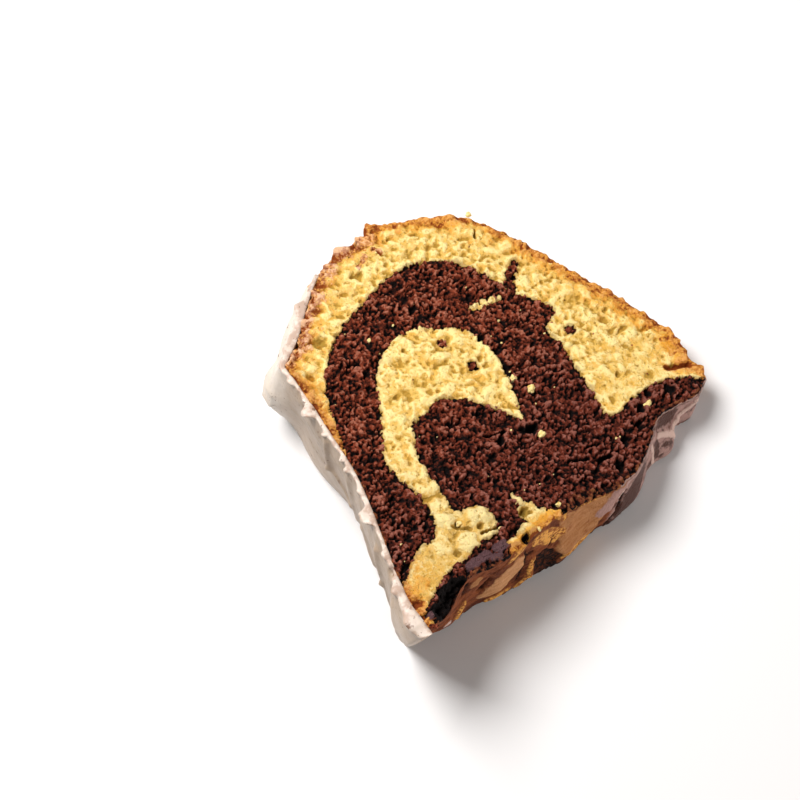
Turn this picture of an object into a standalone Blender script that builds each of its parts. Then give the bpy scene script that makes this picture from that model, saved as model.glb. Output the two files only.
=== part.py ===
"""A slice of iced marble ring cake, lying on its back cut face.

The cake's axis runs along Y, so +Y points from the risen base to the crown, and X runs
from the iced outer wall, at -X, to the wall of the ring's hole, at +X. The back cut lies
on the floor, and the shown cut slopes down to the hole as a slice of a ring does.
"""

from math import exp, radians

import bmesh
import bpy
from mathutils import Matrix, Vector
from mathutils.geometry import interpolate_bezier

MM = 0.001

# Driving sizes, in millimetres
THICK_AT_FOOT = 30.4  # between the two cuts, at the outer bottom edge
CUT_SLOPE = 0.2456  # what the shown cut drops for each millimetre towards the hole
FOOT_X = -43.8
BACK_NARROWING = 0.045  # the back cut is this much narrower than the shown cut
RING_BOW = 0.9  # how far the round walls swell between the cuts
STEP_ALONG = 2.4  # between points along an outline
BANDS_ACROSS = 6  # rows of faces between the cuts
GAP = 0.3  # between the cake and its icing

# The shown cut's outline, one smooth run of points a stretch. Stretches meet at corners.
OUTER_WALL = ((-43.8, 0), (-42.2, 7.6), (-36.5, 20), (-30.6, 33), (-27, 46), (-24.6, 56), (-23.4, 62.2))
FLANK = ((-23.4, 62.2), (-16.8, 65.3), (-9, 70.2), (-2.5, 73.9), (5, 76), (14, 75.4))
CROWN = ((14, 75.4), (20, 74), (27, 70.2), (33, 65.7), (37.4, 59.8))
INNER_WALL = ((37.4, 59.8), (40.4, 49.2), (42.4, 38.5), (44.7, 29.3), (46.6, 19.5), (47.9, 13.2))
TIP = ((47.9, 13.2), (46.6, 8.6), (45.1, 4.6), (45.4, 2.4), (43.8, 0))
BASE = ((43.8, 0), (38.7, -1.7), (33, -0.2), (27.5, 0.2), (23, -2.3), (16, -4.7), (8.7, -4.6),
        (-0.5, -1.5), (-12, -0.5), (-22, 0), (-31, 2.2), (-38, -0.2), (-43.8, 0))

# Rounded swellings of the risen base behind the shown cut: middle along X, half width,
# depth, and where between the cuts they are deepest, from 0 at the back to 1 in front
BASE_LOBES = ((-6, 11, 4.1, 0.15), (14, 9, 2.2, 0.3), (28.6, 4.2, 7.2, 0.35), (39, 4, 0.8, 0.3))
LOBE_SPREAD = 0.55
CROWN_TOOTH_X, CROWN_TOOTH_WIDTH = 15.8, 1.9  # a crumb torn up at the shown cut
CROWN_TOOTH, CROWN_TOOTH_DEPTH = 2.4, 0.3
CROWN_BELOW = 60  # nothing lower than this belongs to the crown
FOOT_LIFT, FOOT_LIFT_REACH = 6.6, 13  # the base rises towards the back at the foot
FOOT_LIFT_HEIGHT = 15  # up the wall, where that rise has died away

# Icing: it covers the outer wall and most of the flank
ICING_FLANK_END = 0.62  # the share of the flank that it covers
ICING_ON_WALL = 1.2
ICING_AT_END = 0.6
END_TAPER = 14  # along the flank, over which it thins to that
# Thicker places: distance from the foot along the wall, half width, added thickness, place
# between the cuts and half width there
ICING_LUMPS = (
    (2, 8, 2.1, 0.85, 0.5),
    (52, 9, 1.9, 0.1, 0.4),
    (67, 5.5, 3.4, 0.42, 0.34),
    (77, 7, 1.9, 0.7, 0.5),
)

CRUMB_COLOUR, CRUMB_ROUGHNESS = (0.62, 0.40, 0.12), 0.85
ICING_COLOUR, ICING_ROUGHNESS = (0.80, 0.74, 0.67), 0.4
SHARP_ABOVE = radians(36)  # edges turned by more than this are shaded as sharp


def remove_objects():
    for ob in list(bpy.data.objects):
        bpy.data.objects.remove(ob, do_unlink=True)


def material(name, colour, roughness):
    mat = bpy.data.materials.new(name)
    mat.use_nodes = True
    shader = mat.node_tree.nodes["Principled BSDF"]
    shader.inputs["Base Color"].default_value = (*colour, 1)
    shader.inputs["Roughness"].default_value = roughness
    shader.inputs["Metallic"].default_value = 0
    return mat


def smooth_run(points):
    """Points about STEP_ALONG apart on a smooth curve through the given ones."""
    knots = [Vector((x, y, 0)) for x, y in points]
    ends = [2 * knots[0] - knots[1], *knots, 2 * knots[-1] - knots[-2]]
    fine = []
    for before, a, b, after in zip(ends, ends[1:], ends[2:], ends[3:]):
        span = (b - a).length
        lead = (b - before).normalized() * span / 3
        trail = (after - a).normalized() * span / 3
        count = max(2, round(span / STEP_ALONG) + 1)
        fine += interpolate_bezier(a, a + lead, b - trail, b, count)[:-1]
    return [(p.x, p.y) for p in fine]


def bump(distance, half_width):
    """A smooth hill, 1 in the middle and near nothing past twice the half width."""
    return exp(-((distance / half_width) ** 2))


def cut_height(x):
    """How high the shown cut lies above the floor."""
    return THICK_AT_FOOT - CUT_SLOPE * (x - FOOT_X)


def base_drop(x, across):
    """How far the risen base swells past its cut edge, in -Y."""
    drop = sum(
        depth * bump(x - middle, wide) * bump(across - deepest, LOBE_SPREAD)
        for middle, wide, depth, deepest in BASE_LOBES
    )
    return drop * (1 - across)


def foot_lift(x, y, across):
    """How far the outer bottom edge rises towards the back."""
    along = max(0, 1 - (x - FOOT_X) / FOOT_LIFT_REACH)
    up = max(0, 1 - max(y, 0) / FOOT_LIFT_HEIGHT)
    return FOOT_LIFT * along * up**2 * (1 - across)


def crown_tooth(x, y, across):
    """How far the crumb at the crown stands up at the shown cut."""
    if y < CROWN_BELOW:
        return 0
    beside = bump(x - CROWN_TOOTH_X, CROWN_TOOTH_WIDTH)
    return CROWN_TOOTH * beside * bump(1 - across, CROWN_TOOTH_DEPTH)


def place(x, y, across, is_base=0):
    """A point of the slice's side, from its point on the shown cut's outline."""
    narrow = 1 - BACK_NARROWING * (1 - across)
    bow = 1 + RING_BOW / abs(FOOT_X) * 4 * across * (1 - across)
    up = crown_tooth(x, y, across) + foot_lift(x, y, across) - is_base * base_drop(x, across)
    return Vector((x * narrow * bow, y + up, cut_height(x) * across))


def cake_outline():
    """The shown cut's outline as (x, y, 1 on the base and 0 elsewhere)."""
    sides = [*smooth_run(OUTER_WALL), *smooth_run(FLANK), *smooth_run(CROWN)]
    sides += [*smooth_run(INNER_WALL), *smooth_run(TIP)]
    return [(x, y, 0) for x, y in sides] + [(x, y, 1) for x, y in smooth_run(BASE)]


def finish(name, bm, mat):
    bmesh.ops.recalc_face_normals(bm, faces=bm.faces)
    bmesh.ops.transform(bm, matrix=Matrix.Scale(MM, 4), verts=bm.verts)
    mesh = bpy.data.meshes.new(name)
    bm.to_mesh(mesh)
    bm.free()
    mesh.materials.append(mat)
    mesh.shade_smooth()
    mesh.set_sharp_from_angle(angle=SHARP_ABOVE)
    ob = bpy.data.objects.new(name, mesh)
    bpy.context.scene.collection.objects.link(ob)
    return ob


def bridge_rows(bm, rows, closed):
    """Quads between neighbouring rows of vertices."""
    count = len(rows[0])
    for low, high in zip(rows, rows[1:]):
        for i in range(count if closed else count - 1):
            j = (i + 1) % count
            bm.faces.new((low[i], low[j], high[j], high[i]))


def make_cake():
    bm = bmesh.new()
    outline = cake_outline()
    rows = []
    for band in range(BANDS_ACROSS + 1):
        across = band / BANDS_ACROSS
        rows.append([bm.verts.new(place(x, y, across, base)) for x, y, base in outline])
    bridge_rows(bm, rows, closed=True)
    cuts = [bm.faces.new(rows[0]), bm.faces.new(rows[-1])]
    bmesh.ops.triangulate(bm, faces=cuts, ngon_method="BEAUTY")
    return finish("cake_slice", bm, material("sponge", CRUMB_COLOUR, CRUMB_ROUGHNESS))


def icing_route():
    """The wall's points that the icing covers, with their outward directions and their
    distances from the foot."""
    flank = smooth_run(FLANK)
    run = [*smooth_run(OUTER_WALL), *flank[: round(len(flank) * ICING_FLANK_END)]]
    points = [Vector((x, y, 0)) for x, y in run]
    outward, along = [], [0.0]
    for i in range(len(points)):
        ahead = points[min(i + 1, len(points) - 1)]
        behind = points[max(i - 1, 0)]
        direction = (ahead - behind).normalized()
        outward.append(Vector((-direction.y, direction.x, 0)))
        if i:
            along.append(along[-1] + (points[i] - points[i - 1]).length)
    return points, outward, along


def icing_thickness(distance, left, across):
    """left: how much of the icing's length is still to come."""
    thick = ICING_AT_END + (ICING_ON_WALL - ICING_AT_END) * min(1, left / END_TAPER)
    for middle, wide, more, at, spread in ICING_LUMPS:
        thick += more * bump(distance - middle, wide) * bump(across - at, spread)
    return thick


def make_icing():
    bm = bmesh.new()
    points, outward, along = icing_route()
    rings = []
    for band in range(BANDS_ACROSS + 1):
        across = band / BANDS_ACROSS
        inner, outer = [], []
        for point, out, distance in zip(points, outward, along):
            foot = place(point.x, point.y, across)
            thick = icing_thickness(distance, along[-1] - distance, across)
            inner.append(bm.verts.new(foot + out * GAP))
            outer.append(bm.verts.new(foot + out * (GAP + thick)))
        rings.append(inner + outer[::-1])
    bridge_rows(bm, rings, closed=True)
    half = len(points)
    for ring in (rings[0], rings[-1]):
        for i in range(half - 1):
            bm.faces.new((ring[i], ring[i + 1], ring[-2 - i], ring[-1 - i]))
    return finish("icing", bm, material("icing", ICING_COLOUR, ICING_ROUGHNESS))


def stand_on_origin(parts):
    """Puts the middle of the whole box's bottom at the origin."""
    corners = [vert.co for ob in parts for vert in ob.data.vertices]
    low = [min(co[axis] for co in corners) for axis in range(3)]
    high = [max(co[axis] for co in corners) for axis in range(3)]
    shift = Vector((-(low[0] + high[0]) / 2, -(low[1] + high[1]) / 2, -low[2]))
    for ob in parts:
        ob.data.transform(Matrix.Translation(shift))


def main():
    remove_objects()
    stand_on_origin([make_cake(), make_icing()])


main()
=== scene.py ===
"""The looks of a slice of iced marble ring cake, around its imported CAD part.

Lengths are in millimetres until a mesh is made. The cake's axis runs along Y: +Y points
from the risen base to the crown, and X runs from the iced outer wall, at -X, to the wall
of the ring's hole. The back cut lies on the floor, and "across" runs from 0 there to 1 on
the shown cut.
"""

from types import SimpleNamespace

import bmesh
import bpy
import numpy as np
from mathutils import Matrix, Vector, kdtree, noise
from mathutils.geometry import delaunay_2d_cdt, interpolate_bezier

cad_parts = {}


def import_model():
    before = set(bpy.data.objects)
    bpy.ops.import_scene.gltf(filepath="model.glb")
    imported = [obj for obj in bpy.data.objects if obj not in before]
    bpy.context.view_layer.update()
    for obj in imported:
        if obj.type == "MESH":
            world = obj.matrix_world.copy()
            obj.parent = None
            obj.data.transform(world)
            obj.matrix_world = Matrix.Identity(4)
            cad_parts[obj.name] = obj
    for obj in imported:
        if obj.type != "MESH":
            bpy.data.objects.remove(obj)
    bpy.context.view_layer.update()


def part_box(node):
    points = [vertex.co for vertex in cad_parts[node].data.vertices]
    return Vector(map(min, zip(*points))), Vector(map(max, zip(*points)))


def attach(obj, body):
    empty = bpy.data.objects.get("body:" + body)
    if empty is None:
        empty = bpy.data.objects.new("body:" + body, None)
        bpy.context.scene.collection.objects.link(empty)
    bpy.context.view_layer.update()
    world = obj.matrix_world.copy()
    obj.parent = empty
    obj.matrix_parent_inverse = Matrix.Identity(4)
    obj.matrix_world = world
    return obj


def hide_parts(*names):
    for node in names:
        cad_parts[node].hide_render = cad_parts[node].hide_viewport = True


MM = 0.001
TINY = 1e-12

# The slice, as in its CAD solids
THICK_AT_FOOT, CUT_SLOPE, FOOT_X = 30.4, 0.2456, -43.8
BACK_NARROWING, RING_BOW, GAP = 0.045, 0.9, 0.3
OUTER_WALL = ((-43.8, 0), (-42.2, 7.6), (-36.5, 20), (-30.6, 33), (-27, 46), (-24.6, 56), (-23.4, 62.2))
FLANK = ((-23.4, 62.2), (-16.8, 65.3), (-9, 70.2), (-2.5, 73.9), (5, 76), (14, 75.4))
CROWN = ((14, 75.4), (20, 74), (27, 70.2), (33, 65.7), (37.4, 59.8))
INNER_WALL = ((37.4, 59.8), (40.4, 49.2), (42.4, 38.5), (44.7, 29.3), (46.6, 19.5), (47.9, 13.2))
TIP = ((47.9, 13.2), (46.6, 8.6), (45.1, 4.6), (45.4, 2.4), (43.8, 0))
BASE = ((43.8, 0), (38.7, -1.7), (33, -0.2), (27.5, 0.2), (23, -2.3), (16, -4.7), (8.7, -4.6),
        (-0.5, -1.5), (-12, -0.5), (-22, 0), (-31, 2.2), (-38, -0.2), (-43.8, 0))
ZONES = (OUTER_WALL, FLANK, CROWN, INNER_WALL, TIP, BASE)
ON_OUTER_WALL, ON_FLANK, ON_CROWN, ON_BASE = 0, 1, 2, 5  # places in ZONES
BASE_LOBES = ((-6, 11, 4.1, 0.15), (14, 9, 2.2, 0.3), (28.6, 4.2, 7.2, 0.35), (39, 4, 0.8, 0.3))
LOBE_SPREAD = 0.55
CROWN_TOOTH_X, CROWN_TOOTH_WIDTH, CROWN_TOOTH, CROWN_TOOTH_DEPTH, CROWN_BELOW = 15.8, 1.9, 2.4, 0.3, 60
FOOT_LIFT, FOOT_LIFT_REACH, FOOT_LIFT_HEIGHT = 6.6, 13, 15

# Mesh spacings
ALONG, ROWS = 0.55, 36
DARK_SPACING, LIGHT_SPACING, BACK_SPACING = 0.27, 0.36, 0.9
FINE_BEYOND = 0.4  # how far the closer points go past the dark crumb
RIM_MARGIN = 0.6  # between a cut's rim and the points inside it, as a share of their spacing
CAD_ALONG, CAD_BANDS = 2.4, 6  # those of the CAD solid

# Marbling: where the dark crumb reaches, and the light crumb inside it
DARK = (
    (-27, 40.4), (-23.6, 47.6), (-20.3, 52.8), (-15.4, 56.9), (-8.7, 60.7), (-0.6, 62.2), (6.6, 63.6),
    (15.3, 63.1), (20.9, 59.7), (25, 54.9), (26.8, 47.8), (27, 43.1), (30.2, 38.5), (31.3, 34.1),
    (26.7, 32.3), (25.7, 26.6), (23.4, 19.9), (21.8, 13.9), (20.3, 7.9), (27, 7.3), (33.8, 6.7),
    (39.4, 3.9), (43, 0.6), (50, -4), (20, -14), (-20, -10), (-41, -6), (-48, 6), (-42.5, 14), (-34, 32),
)
LIGHT = (
    (-13.3, 44.7), (-8.9, 49), (-2.2, 51.8), (3.3, 51.4), (8.6, 47.9), (12.7, 43.3), (13.4, 39.3),
    (13.2, 35.1), (11.8, 30.9), (9.8, 26.4), (6.9, 21.7), (5.6, 19.6), (4.2, 22.1), (2.3, 26.8),
    (0.1, 30.3), (-3.5, 34.5), (-8.5, 34.3), (-12.3, 34.5), (-14.4, 32.4), (-17.2, 28.6), (-19, 23.3),
    (-19.7, 19), (-20.4, 14.6), (-17, 12.5), (-15.5, 9.3), (-17.7, 5.4), (-21.3, 5.8), (-26.6, 5.5),
    (-30.1, 5.8), (-35.4, 5.2), (-39.6, 3.8), (-41.6, 2.6), (-42.2, -3), (-50, -3), (-48, 9),
    (-40.8, 10.3), (-35.4, 12.8), (-31.4, 13.9), (-28.6, 13.2), (-25.4, 17.3), (-24.1, 21.9),
    (-24.4, 28.1), (-22.8, 33.5), (-19.1, 37.5), (-16.1, 41),
)
LIGHT_PATCH = (
    (-9.5, 9.8), (-8.9, 7.2), (-7.6, 5.4), (-7.6, 3.8), (-6, 1.8), (-4.4, -0.2), (-5, -3), (-19.8, -3),
    (-19.4, 0.6), (-18, 2.8), (-15.7, 2.2), (-13.6, 3.4), (-12, 3), (-12, 4.8), (-10.8, 6.6),
)
# Bits of one crumb in the other: middle and radius
LIGHT_BITS = (
    (17.8, 46.2, 0.9), (19.4, 46, 1.1), (21, 45.6, 1.1), (22.6, 45, 1), (24.2, 44.3, 0.8),
    (12.4, 23.8, 0.8),
)
DARK_BITS = (
    (6.1, 44.1, 0.9), (7.2, 36, 0.9), (33.8, 48.5, 0.8), (32.3, 47.6, 1), (30.6, 46.5, 1.1),
    (28.8, 45.2, 1.2), (27.1, 43.6, 1.2), (30.2, 28.4, 0.9), (28.5, 36.5, 1.4),
)
BORDER_SWAY = ((1.4, 0.3), (0.7, 0.18))  # size and depth of the border's raggedness
SWAY_SIZE, SWAY_DEPTH, SWAY_WAY = 22, 9, 12  # how the marbling sways on its way to the back cut

# Holes in the shown cut: middle, radius and depth
PORES = (
    (4.6, 68.9, 1.6, 0.9), (-13.6, 62.2, 2.2, 1.2), (17.1, 63.8, 1.4, 0.5), (7.8, 54.8, 1.1, 2.4),
    (14.1, 39.8, 0.8, 1.8), (13.8, 35.5, 0.9, 1.8), (-11.3, 49.9, 0.9, 1.2), (-11.5, 52.6, 0.8, 1),
    (-13.3, 46.8, 0.9, 1.2), (-6.8, 29.3, 1.1, 2.4), (-1.4, 19.7, 1.3, 2.4), (5.6, 17.3, 1.8, 2.8),
    (4, 18.4, 1.2, 2.2), (12.4, 31.2, 1.1, 1.6), (34.3, 9, 1.9, 0.6), (29.4, 13.6, 0.9, 0.8),
    (24, 10.3, 1.3, 0.7), (26.8, 4.8, 1.4, 2.6), (35.4, 3.4, 1.6, 2.2), (23.8, 2.2, 1.3, 2.4),
    (18.7, 1.8, 1.5, 2.2), (13.3, -1.2, 1.6, 2.4), (31, 6, 1.1, 1.6), (-10.2, 4.6, 1.3, 1.9),
    (-22.9, 11.9, 0.9, 1.2), (-19.9, 8.8, 0.8, 1), (-27.5, 7.5, 1, 0.8), (-41.4, 5.4, 1.6, 1.2),
    (-42.6, 2.6, 0.8, 1.2),
)
# Slots in the shown cut: both ends, half width and depth
SLOTS = (
    (39.4, 7.4, 43.8, 4.8, 1.05, 1.7), (-20.6, 7.4, -16, 5.6, 0.45, 2.2),
    (-24.3, 12.6, -21.6, 9.6, 0.5, 1), (10.4, 2.4, 13.4, 1.6, 0.7, 2), (5.4, 6.6, 9.4, 4.4, 0.5, 1.6),
    (11, 6.2, 13.6, 4.8, 0.5, 1.5), (-3.6, 22.6, 0.6, 20.6, 0.5, 1.6), (12.2, 71.4, 12.8, 69, 0.35, 1.4),
    (33.4, 60.4, 32, 58.6, 0.4, 1.4),
)
RANDOM_PITS, PIT_SIZE = 420, (0.22, 0.6)
# Painted shade: a hole is painted darker inside the deeper it goes, darkest from this depth on
BLACK_DEPTH = 3  # a hole this deep or deeper looks black inside
# Amber places of the shown cut: both ends and half width
AMBERED = ((45.2, 11, 45.6, 5, 3.2), (-41.4, 8.4, -42.4, 1, 2.4), (-4, 0.8, -18, 0.2, 1.3))
# Browned places of it away from its rim: both ends and half width
BROWNED = ((39.4, 7.4, 43.8, 4.8, 1.1), (-41.6, 5.4, -41.2, 5.2, 1.5), (12.4, 71.2, 12.8, 69.4, 0.5),
           (6, 69.8, 9.6, 71.2, 0.5), (42.6, 9.4, 45.6, 8.2, 0.8), (43.6, 13, 45.8, 12.2, 0.6))

# The dark crumb's grains, coarse to fine: how many on a square millimetre, radii, and how
# high their tops may lie
DARK_GRAINS = ((0.12, 0.6, 1, -0.5, 0.05), (0.9, 0.3, 0.52, -0.75, 0.25), (4, 0.18, 0.32, -0.85, 0.3))
CREVICES = -1.3  # where no grain reaches
# The drawn look: how long its furrows are, how far apart, and their angle
TEAR_ALONG, TEAR_APART, TEAR_TURN = 9, 1.9, -0.35

# Soft lumps of the light crumb on the shown cut: middle, radius and height
LUMPS = (
    (-18.6, 10.4, 3, 1.3), (-24.4, 14.2, 2.6, 1), (-24.2, 8, 3, 1), (-19.8, 6, 1.8, 0.5),
    (-29.5, 10, 3, 0.5), (-13.2, 1.4, 2, 1.8), (-9.6, 7.2, 1.5, 0.7), (-7.4, 3.2, 1.6, 0.5),
    (-17.2, 1.6, 1.3, 1.2),
)
# Holes torn into the cut's lower edge: middle, radius and depth
NOTCHES = ((-32.8, 2, 2.7, 2.6), (-35.6, 1.2, 3.3, 3.4), (-38.7, 0.6, 2.5, 2.6), (-15, 0.2, 1.1, 2.2))
# Crumbs torn up at the rim of the flank and crown: X, half width and how far they stand out
TUFTS = ((11.6, 1, 0.9), (13.4, 0.6, -0.9), (6.4, 1.5, 1.1), (3, 0.6, -0.5), (0.8, 1, 0.5),
         (-5, 1.2, 0.4), (22, 1.2, -0.3), (27.4, 1.6, 0.4), (30.6, 0.8, -0.4), (33, 1.4, 0.4))

# What shows on the risen base, by X and across, later kinds over earlier ones: both ends,
# half width, and how far it stands out
BASE_MARKS = {
    "umber": ((11.4, 0.16, 16.4, 0.62, 3.4, -0.2), (24.4, 0.3, 24.8, 0.66, 0.9, 0),
              (-44, 0, 7, 0, 1.1, 0), (28.4, 0.86, 32, 0.76, 1.6, 0)),
    "tan": ((-1.6, 0.34, 2.4, 0.68, 6, 0.5), (-5.4, 0.26, -3.6, 0.82, 2, 0.3),
            (-28.4, 0.74, -27.6, 0.82, 1.2, 0.3)),
    "sand": ((-24.2, 0.32, -18.4, 0.62, 3.5, 0.5),),
    "gold": (
        (-18.8, 0.08, -15.3, 0.2, 0.8, 0.5), (-15.3, 0.2, -13.7, 0.44, 0.8, 0.6),
        (-19, 0.88, -16, 0.97, 1.6, 0.4), (-11.4, 0.82, -7.2, 0.62, 2.4, 0.2),
        (-26, 0.12, -20.6, 0.13, 0.6, 0.6), (-34, 0.24, -31.4, 0.48, 0.8, 0.9),
        # Of the next three, the last two lie along the upper edge and are partly painted highlight
        (-6.4, 0.16, 2, 0.1, 1.2, 0), (-5.8, 0.97, -4.4, 0.86, 0.7, 0.4), (-4, 0.98, 10, 0.98, 0.7, 0.2),
    ),
    # The grey strip along the front rim is grey skin, partly painted highlight
    "grey": ((5.6, 0.5, 8.8, 0.86, 2, 0.4), (8.8, 0.86, 14, 0.96, 1.2, 0.2)),
    # Most pale marks run along the lobes' edges and folds, where they are partly painted highlight
    "pale": ((-37, 0.3, -36.2, 0.32, 0.7, 0.5), (25.6, 0.72, 30, 0.5, 0.6, 0.6),
             (30, 0.5, 33, 0.56, 0.6, 0.6), (33, 0.56, 38.6, 0.82, 0.6, 0.6),
             (22.4, 0.86, 23.3, 0.2, 0.35, 0.4), (9.4, 0.62, 11, 0.84, 0.35, 0.3)),
    # Painted shadow: cavities and the gap under the front strip, sunk and painted darkest
    "shadowed_cavity": (
        (-26.9, 0.48, -24.9, 0.7, 0.7, -1.6), (-24.4, 0.79, -21, 0.87, 0.35, -0.7),
        (-18, 0.2, -16, 0.42, 0.4, -0.6), (-16, 0.42, -15.3, 0.74, 0.4, -0.8),
        (-14.9, 0.62, -13.5, 0.56, 0.8, -1.2), (-11.2, 0.36, -9.4, 0.2, 2.2, -0.9),
        (-13.2, 0.03, -10.6, 0.04, 2.2, -0.2), (-12, 0.2, -11.4, 0.1, 1.8, -0.2),
        (-9, 0.5, -7.6, 0.62, 0.3, -0.5), (6.2, 0.06, 8.9, 0.28, 0.6, -0.9),
        (8.9, 0.28, 10.7, 0.6, 0.6, -0.9), (10.7, 0.6, 12.6, 0.86, 0.45, -0.8),
        (-31, 0.62, -30.2, 0.86, 0.5, -0.8),
    ),
}
GREY_START, GREY_SLANT = 5.2, 6.4  # the skin is grey beyond this X, which moves with across
# Glossy patches of dark skin on the shown cut: both ends and half width
PLUMS = ((-28, 4, -23.6, 3.5, 1), (-23, 1.9, -21.4, 1.3, 0.7), (-20.6, 3, -19.4, 2.6, 1),
         (-41.6, 1.7, -40, 2, 0.6))


def bump(distance, half_width):
    """A smooth hill, 1 in the middle and near nothing past twice the half width."""
    return np.exp(-((distance / half_width) ** 2))


def smoothstep(value, low, high, least=0):
    """From the least amount at low to 1 at high, with soft ends."""
    t = np.clip((value - low) / (high - low), 0, 1)
    return least + (1 - least) * t * t * (3 - 2 * t)


def smooth_run(knots, step, closed=False):
    """Points about a step apart on a smooth curve through the knots, without the last."""
    knots = [Vector((x, y, 0)) for x, y in knots]
    if closed:
        knots = [knots[-1], *knots, knots[0], knots[1]]
    else:
        knots = [2 * knots[0] - knots[1], *knots, 2 * knots[-1] - knots[-2]]
    fine = []
    for before, a, b, after in zip(knots, knots[1:], knots[2:], knots[3:]):
        span = (b - a).length
        lead = (b - before).normalized() * span / 3
        trail = (after - a).normalized() * span / 3
        count = max(2, round(span / step) + 1)
        fine += interpolate_bezier(a, a + lead, b - trail, b, count)[:-1]
    return np.array([p.to_tuple()[:2] for p in fine])


def cut_height(x):
    return THICK_AT_FOOT - CUT_SLOPE * (x - FOOT_X)


def place(x, y, across, on_base):
    """Points of the slice's side, from their points on the shown cut's outline."""
    narrow = 1 - BACK_NARROWING * (1 - across)
    bow = 1 + RING_BOW / abs(FOOT_X) * 4 * across * (1 - across)
    tooth = CROWN_TOOTH * bump(x - CROWN_TOOTH_X, CROWN_TOOTH_WIDTH) * bump(1 - across, CROWN_TOOTH_DEPTH)
    near_foot = np.maximum(0, 1 - (x - FOOT_X) / FOOT_LIFT_REACH)
    low = np.maximum(0, 1 - np.maximum(y, 0) / FOOT_LIFT_HEIGHT)
    drop = sum(
        depth * bump(x - middle, wide) * bump(across - deepest, LOBE_SPREAD)
        for middle, wide, depth, deepest in BASE_LOBES
    )
    up = tooth * (y >= CROWN_BELOW) + FOOT_LIFT * near_foot * low**2 * (1 - across)
    up -= on_base * (drop * (1 - across))
    return np.stack([x * narrow * bow, y + up, cut_height(x) * across], -1)


def perlin(points, size, seed):
    """Smooth noise, about -1 to 1, whose features have that size."""
    spots = points / size + np.array((17.3, -9.1, 5.7)) * seed
    return np.array([noise.noise(p, noise_basis="PERLIN_ORIGINAL") for p in spots.tolist()])


def cell_distance(spots):
    """How far each point is from the middle of its random cell, from 0 to about 1."""
    return (np.array([noise.noise(p, noise_basis="VORONOI_F1") for p in spots.tolist()]) + 1) / 2


def grains(points, size, seed):
    """Rounded grains of that size: 1 on top and 0 or less in the creases between them."""
    shake = np.stack([perlin(points, size * 0.8, seed + k) for k in range(3)], -1)
    spots = (points + shake * size * 0.45) / size + np.array((3.7, 8.1, -4.9)) * seed
    return 1 - cell_distance(spots) ** 2 * 2.2


def segment_distance(x, y, ends):
    """The distance from each point to the straight line between two ends."""
    ax, ay, bx, by = ends
    dx, dy = bx - ax, by - ay
    t = np.clip(((x - ax) * dx + (y - ay) * dy) / (dx * dx + dy * dy), 0, 1)
    return np.hypot(x - ax - t * dx, y - ay - t * dy)


def distance_to(points, loop):
    """The distance from each point to a polygon, negative inside it."""
    best = np.full(len(points), np.inf)
    inside = np.zeros(len(points), bool)
    x, y = points[:, 0], points[:, 1]
    for (ax, ay), (bx, by) in zip(loop, np.roll(loop, -1, axis=0)):
        dx, dy = bx - ax, by - ay
        t = np.clip(((x - ax) * dx + (y - ay) * dy) / (dx * dx + dy * dy + TINY), 0, 1)
        best = np.minimum(best, (x - ax - t * dx) ** 2 + (y - ay - t * dy) ** 2)
        if ay != by:
            inside ^= ((ay > y) != (by > y)) & (x < (bx - ax) * (y - ay) / (by - ay) + ax)
    return np.sqrt(best) * np.where(inside, -1, 1)


def dark_depth(plan):
    """How far inside the dark crumb a point of the marbling's plan is, negative outside."""
    depth = -distance_to(plan, smooth_run(DARK, 1.5, closed=True))
    for knots in (LIGHT, LIGHT_PATCH):
        depth = np.minimum(depth, distance_to(plan, smooth_run(knots, 1, closed=True)))
    for x, y, radius in LIGHT_BITS:
        depth = np.minimum(depth, np.hypot(plan[:, 0] - x, plan[:, 1] - y) - radius)
    for x, y, radius in DARK_BITS:
        depth = np.maximum(depth, radius - np.hypot(plan[:, 0] - x, plan[:, 1] - y))
    return depth


def scatter(rng, low, high, sort):
    """Grains over a box: x, y, radius and top of each."""
    density, small, large, lowest, highest = sort
    count = int(density * (high - low).prod())
    place_at = rng.uniform(low, high, (count, 2))
    size = rng.uniform(small, large, count)
    return np.column_stack([place_at, size, rng.uniform(lowest, highest, count)])


def furrows(plan):
    """The drawn look that the knife leaves: -1 in a furrow to 1 on a ridge."""
    along = plan @ np.array((np.cos(TEAR_TURN), np.sin(TEAR_TURN))) / TEAR_ALONG
    apart = plan @ np.array((-np.sin(TEAR_TURN), np.cos(TEAR_TURN))) / TEAR_APART
    return perlin(np.column_stack([along, apart, np.zeros(len(plan))]), 1, 4)


def light_relief(flat):
    """The light crumb's soft lumps, torn along the furrows, and its fine pits."""
    torn = smoothstep(perlin(flat, 4.5, 47), -0.35, 0.4, 0.25)
    lumps = 1.1 * np.abs(perlin(flat, 3.4, 41)) - 1.1 * torn * np.abs(perlin(flat, 1.6, 42)) - 0.05
    pits = smoothstep(cell_distance(flat / 1.1), 0.38, 0.12)
    pits *= smoothstep(perlin(flat, 3.6, 44), -0.15, 0.3)
    lumps += 0.45 * perlin(flat, 2.4, 45) + 0.3 * perlin(flat, 0.85, 43) + 0.6 * furrows(flat[:, :2])
    lumps = (lumps - 0.5 * pits) * smoothstep(flat[:, 1], 8, 20, 0.3)
    for x, y, radius, high in LUMPS:
        away = np.hypot(flat[:, 0] - x, flat[:, 1] - y) + 0.8 * perlin(flat, 1.7, 46)
        lumps += high * smoothstep(away, radius, radius * 0.3)
    return lumps


def point_tree(plan):
    tree = kdtree.KDTree(len(plan))
    for i, (x, y) in enumerate(plan.tolist()):
        tree.insert((x, y, 0), i)
    tree.balance()
    return tree


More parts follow.
